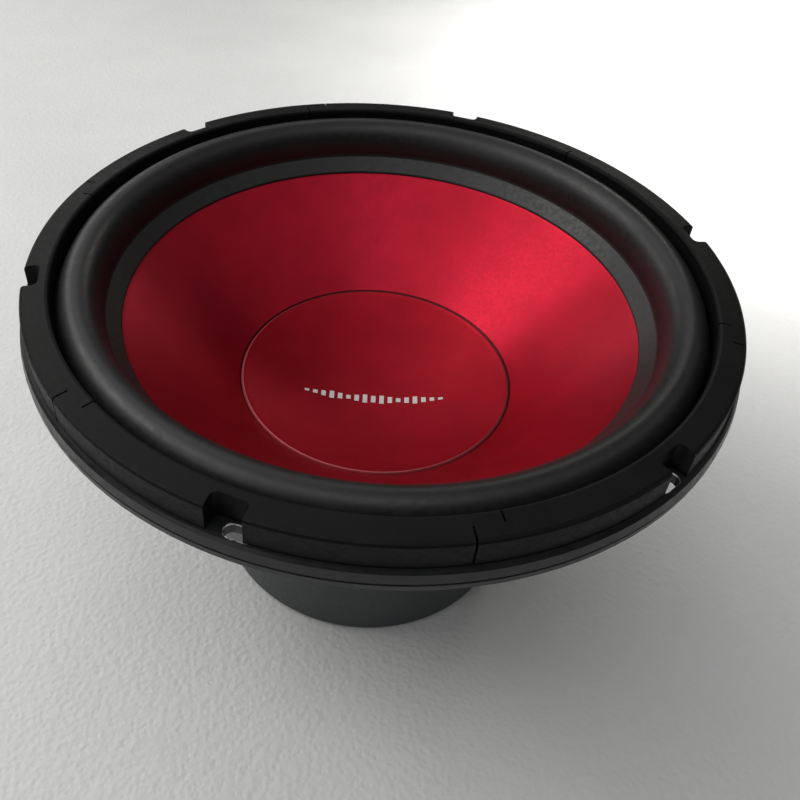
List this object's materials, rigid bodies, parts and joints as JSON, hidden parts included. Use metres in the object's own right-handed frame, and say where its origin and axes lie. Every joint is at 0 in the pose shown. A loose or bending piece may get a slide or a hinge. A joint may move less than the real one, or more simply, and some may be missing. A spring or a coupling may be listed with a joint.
{
  "type": "car subwoofer driver",
  "caption": "Round cone loudspeaker for bass: stamped basket, rubber surround and gasket, dished cap, magnet motor in a rubber boot, push terminals.",
  "frame": {"origin": "centre of the magnet boot's underside, on the table", "axes": "+Z out of the cone along its travel, +Y away from the pictured side, +X to that side's right"},
  "size_m": [0.3154, 0.3154, 0.1769],
  "materials": {
    "basket_paint": "satin black paint on stamped steel",
    "gasket_rubber": "moulded rubber, satin",
    "surround_rubber": "smooth satin rubber",
    "cone_red": "satin metallic red",
    "cap_red": "satin metallic red",
    "former_foil": "bare foil",
    "coil_copper": "enamelled copper wire",
    "collar_paper": "brown kraft",
    "spider_cloth": "resin-dipped cotton",
    "plate_steel": "zinc plated",
    "magnet_ferrite": "dark ferrite",
    "ring_aluminium": "turned",
    "screen_steel": "perforated, black",
    "boot_rubber": "satin rubber",
    "screw_zinc": "zinc plated",
    "terminal_plastic": "moulded black",
    "button_red": "moulded red",
    "button_black": "moulded black",
    "spring_steel": "bare wire",
    "contact_brass": "bare brass",
    "rivet_steel": "bare",
    "lead_braid": "tinned copper braid",
    "eyelet_brass": "bare brass"
  },
  "bodies": {
    "frame_and_motor": {"basket": "basket_paint", "surround": "surround_rubber", "spider": "spider_cloth", "top_plate": "plate_steel", "yoke": "plate_steel", "magnet_upper": "magnet_ferrite", "magnet_lower": "magnet_ferrite", "shorting_ring": "ring_aluminium", "vent_screen": "screen_steel", "magnet_boot": "boot_rubber", "base_screws": "screw_zinc", "terminal_block": "terminal_plastic", "terminal_rivets": "rivet_steel", "terminal_spring_pos": "spring_steel", "terminal_spring_neg": "spring_steel", "terminal_contact_pos": "contact_brass", "terminal_contact_neg": "contact_brass", "tinsel_lead_pos": "lead_braid", "tinsel_lead_neg": "lead_braid", "gasket_segment_1": "gasket_rubber", "gasket_segment_2": "gasket_rubber", "gasket_segment_3": "gasket_rubber", "gasket_segment_4": "gasket_rubber", "gasket_segment_5": "gasket_rubber", "gasket_segment_6": "gasket_rubber"},
    "cone_assembly": {"cone": "cone_red", "dust_cap": "cap_red", "voice_coil_former": "former_foil", "voice_coil_winding": "coil_copper", "former_collar": "collar_paper", "lead_eyelets": "eyelet_brass"},
    "button_pos": {"terminal_button_pos": "button_red"},
    "button_neg": {"terminal_button_neg": "button_black"}
  },
  "joints": [
    {"name": "cone_travel", "type": "slide", "parent": "frame_and_motor", "child": "cone_assembly", "axis": [0, 0, 1], "range_m": [-0.012, 0.012], "stiffness_N_per_m": 5300, "deforming": ["surround", "spider", "tinsel_lead_pos", "tinsel_lead_neg"]},
    {"name": "button_pos_press", "type": "slide", "parent": "frame_and_motor", "child": "button_pos", "axis": [0.23, -0.9732, 0], "range_m": [0, 0.003], "stiffness_N_per_m": 400, "springref_m": -0.002, "deforming": ["terminal_spring_pos"]},
    {"name": "button_neg_press", "type": "slide", "parent": "frame_and_motor", "child": "button_neg", "axis": [0.23, -0.9732, 0], "range_m": [0, 0.003], "stiffness_N_per_m": 400, "springref_m": -0.002, "deforming": ["terminal_spring_neg"]}
  ]
}
